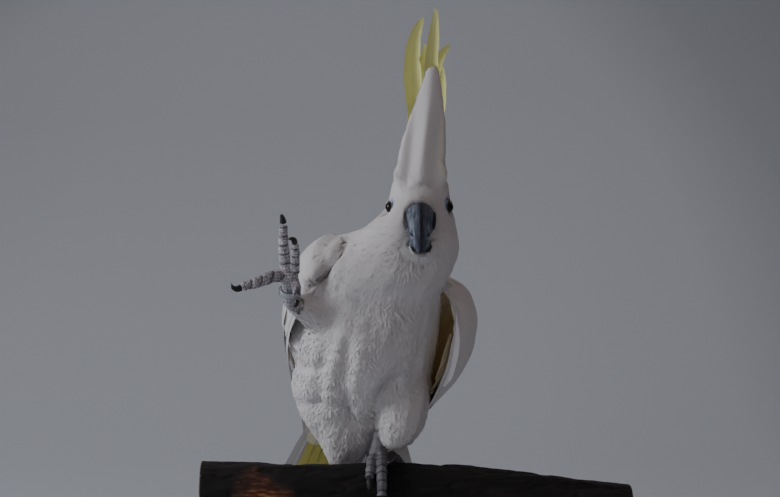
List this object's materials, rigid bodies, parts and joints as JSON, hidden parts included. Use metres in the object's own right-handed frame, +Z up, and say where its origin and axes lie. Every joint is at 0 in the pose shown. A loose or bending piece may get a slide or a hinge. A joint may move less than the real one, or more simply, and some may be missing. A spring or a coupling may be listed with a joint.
{
  "type": "white cockatoo model on a perch stand",
  "caption": "Life-size still model of a white cockatoo, yellow crest raised and one foot lifted, gripping a cut branch held by a plain rod stand.",
  "frame": {"origin": "middle of the stand's flat underside", "axes": "+Z up, the bird faces -Y, +X to the bird's left, along the branch"},
  "size_m": [0.323, 0.2511, 0.5046],
  "materials": {
    "white_plumage": "soft white feathers",
    "yellow_plumage": "soft pale yellow feathers",
    "bill_horn": "blue-grey horn with a dusty bloom",
    "claw_horn": "black horn",
    "eye": "wet and glossy",
    "scaly_skin": "dry grey scales",
    "ring_metal": "plain bright metal",
    "bark": "rough dark bark",
    "stand_lacquer": "black satin lacquer",
    "rod_steel": "brushed"
  },
  "bodies": {
    "root": {"bill_lower": "bill_horn", "bill_upper": "bill_horn", "crest_front": "white_plumage", "crest_plume_1": "yellow_plumage", "crest_plume_2": "yellow_plumage", "crest_plume_3": "yellow_plumage", "crest_plume_4": "yellow_plumage", "crest_plume_5": "yellow_plumage", "crest_plume_6": "yellow_plumage", "crest_plume_7": "yellow_plumage", "eye_left": "eye", "eye_right": "eye", "foot_left_front_inner_claw": "claw_horn", "foot_left_front_inner_toe": "scaly_skin", "foot_left_front_outer_claw": "claw_horn", "foot_left_front_outer_toe": "scaly_skin", "foot_left_rear_inner_claw": "claw_horn", "foot_left_rear_inner_toe": "scaly_skin", "foot_left_rear_outer_claw": "claw_horn", "foot_left_rear_outer_toe": "scaly_skin", "foot_left_shank": "scaly_skin", "foot_right_front_inner_claw": "claw_horn", "foot_right_front_inner_toe": "scaly_skin", "foot_right_front_outer_claw": "claw_horn", "foot_right_front_outer_toe": "scaly_skin", "foot_right_rear_inner_claw": "claw_horn", "foot_right_rear_inner_toe": "scaly_skin", "foot_right_rear_outer_claw": "claw_horn", "foot_right_rear_outer_toe": "scaly_skin", "foot_right_shank": "scaly_skin", "head": "white_plumage", "leg_ring": "ring_metal", "neck": "white_plumage", "perch": "bark", "stand_base": "stand_lacquer", "stand_rod_left": "rod_steel", "stand_rod_right": "rod_steel", "tail": "white_plumage", "thigh_left": "white_plumage", "thigh_right": "white_plumage", "trunk": "white_plumage", "wing_left_arm": "white_plumage", "wing_left_flight": "white_plumage", "wing_right_arm": "white_plumage", "wing_right_flight": "white_plumage"}
  },
  "joints": []
}
